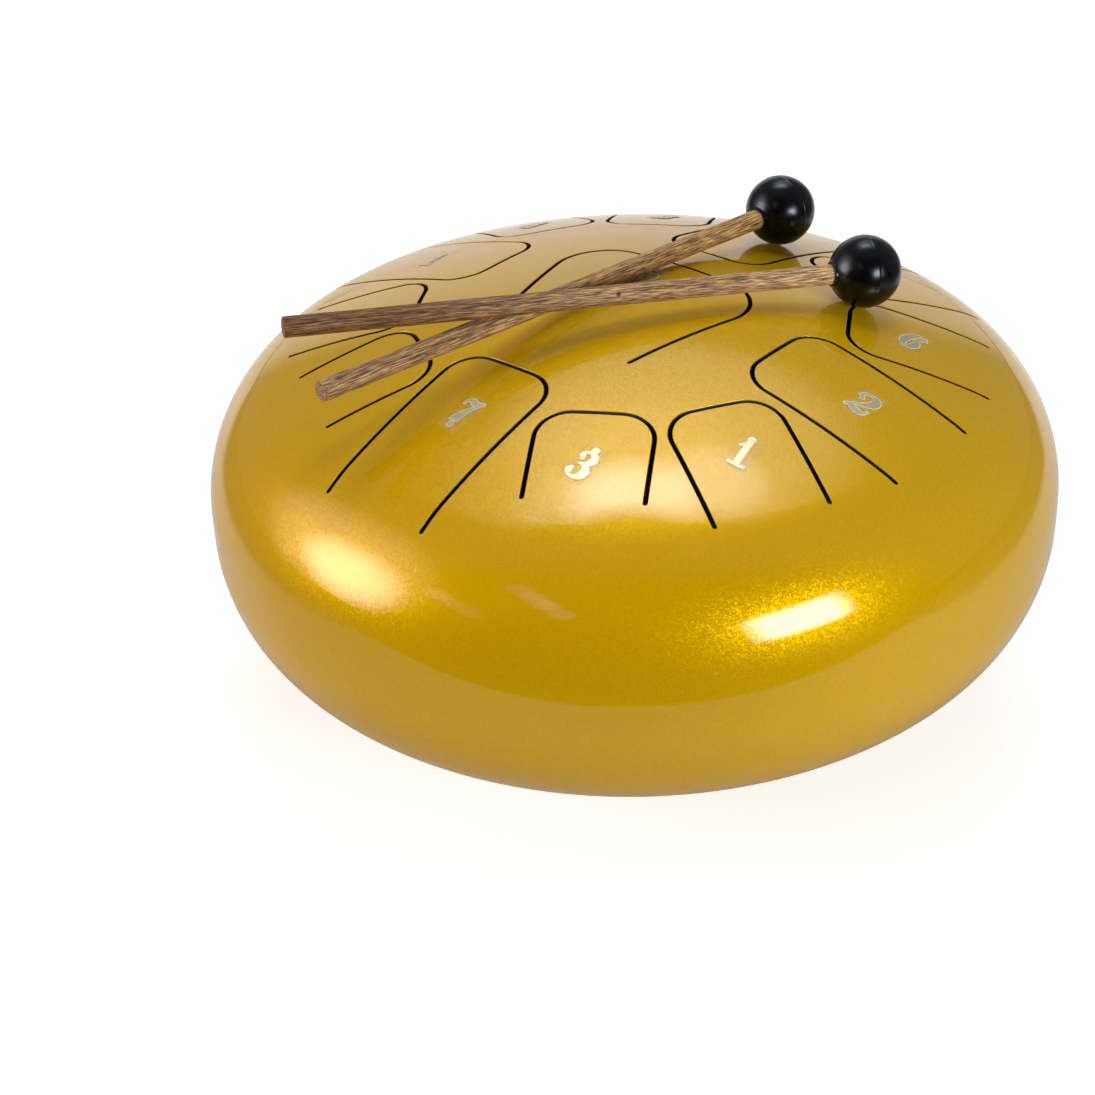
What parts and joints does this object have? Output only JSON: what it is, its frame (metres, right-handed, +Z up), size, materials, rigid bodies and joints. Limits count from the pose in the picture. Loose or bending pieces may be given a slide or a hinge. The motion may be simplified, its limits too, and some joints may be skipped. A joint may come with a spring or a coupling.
{
  "type": "steel tongue drum",
  "caption": "Round steel tongue drum of welded domed shells with number labels, rubber feet and ball mallets lying crossed on its dome.",
  "frame": {"origin": "on the surface that the drum stands on, under the drum's axis", "axes": "+Z up along the drum's axis; -Y towards the player, for whom the number labels are upright; +X to the player's right"},
  "size_m": [0.3, 0.3, 0.1721],
  "materials": {
    "gold_paint": "pearl gold paint with a fine metallic sparkle under gloss lacquer, on pressed steel sheet",
    "weld_steel": "weld bead, ground flush and painted over with the shells",
    "foot_rubber": "matt black moulded rubber",
    "label_foil": "clear film with a pale foil numeral",
    "stick_wood": "open-grained brown wood, sanded and unvarnished",
    "head_rubber": "satin black moulded rubber"
  },
  "bodies": {
    "drum": {"upper_shell": "gold_paint", "lower_shell": "gold_paint", "weld_seam": "weld_steel", "foot_front_right": "foot_rubber", "foot_rear_right": "foot_rubber", "foot_rear_left": "foot_rubber", "foot_front_left": "foot_rubber", "label_low_7": "label_foil", "label_high_3": "label_foil", "label_high_1": "label_foil", "label_2": "label_foil", "label_6": "label_foil", "label_5": "label_foil", "label_low_6": "label_foil", "label_3": "label_foil", "label_4": "label_foil", "label_1": "label_foil", "label_7": "label_foil", "label_high_2": "label_foil", "label_low_5": "label_foil"},
    "lower_mallet": {"lower_mallet_stick": "stick_wood", "lower_mallet_head": "head_rubber"},
    "upper_mallet": {"upper_mallet_stick": "stick_wood", "upper_mallet_head": "head_rubber"}
  },
  "joints": [
    {"name": "lower_mallet_lift", "type": "slide", "parent": "drum", "child": "lower_mallet", "axis": [0, 0, 1], "range_m": [0, 0.15]},
    {"name": "upper_mallet_lift", "type": "slide", "parent": "lower_mallet", "child": "upper_mallet", "axis": [0, 0, 1], "range_m": [0, 0.15]}
  ]
}
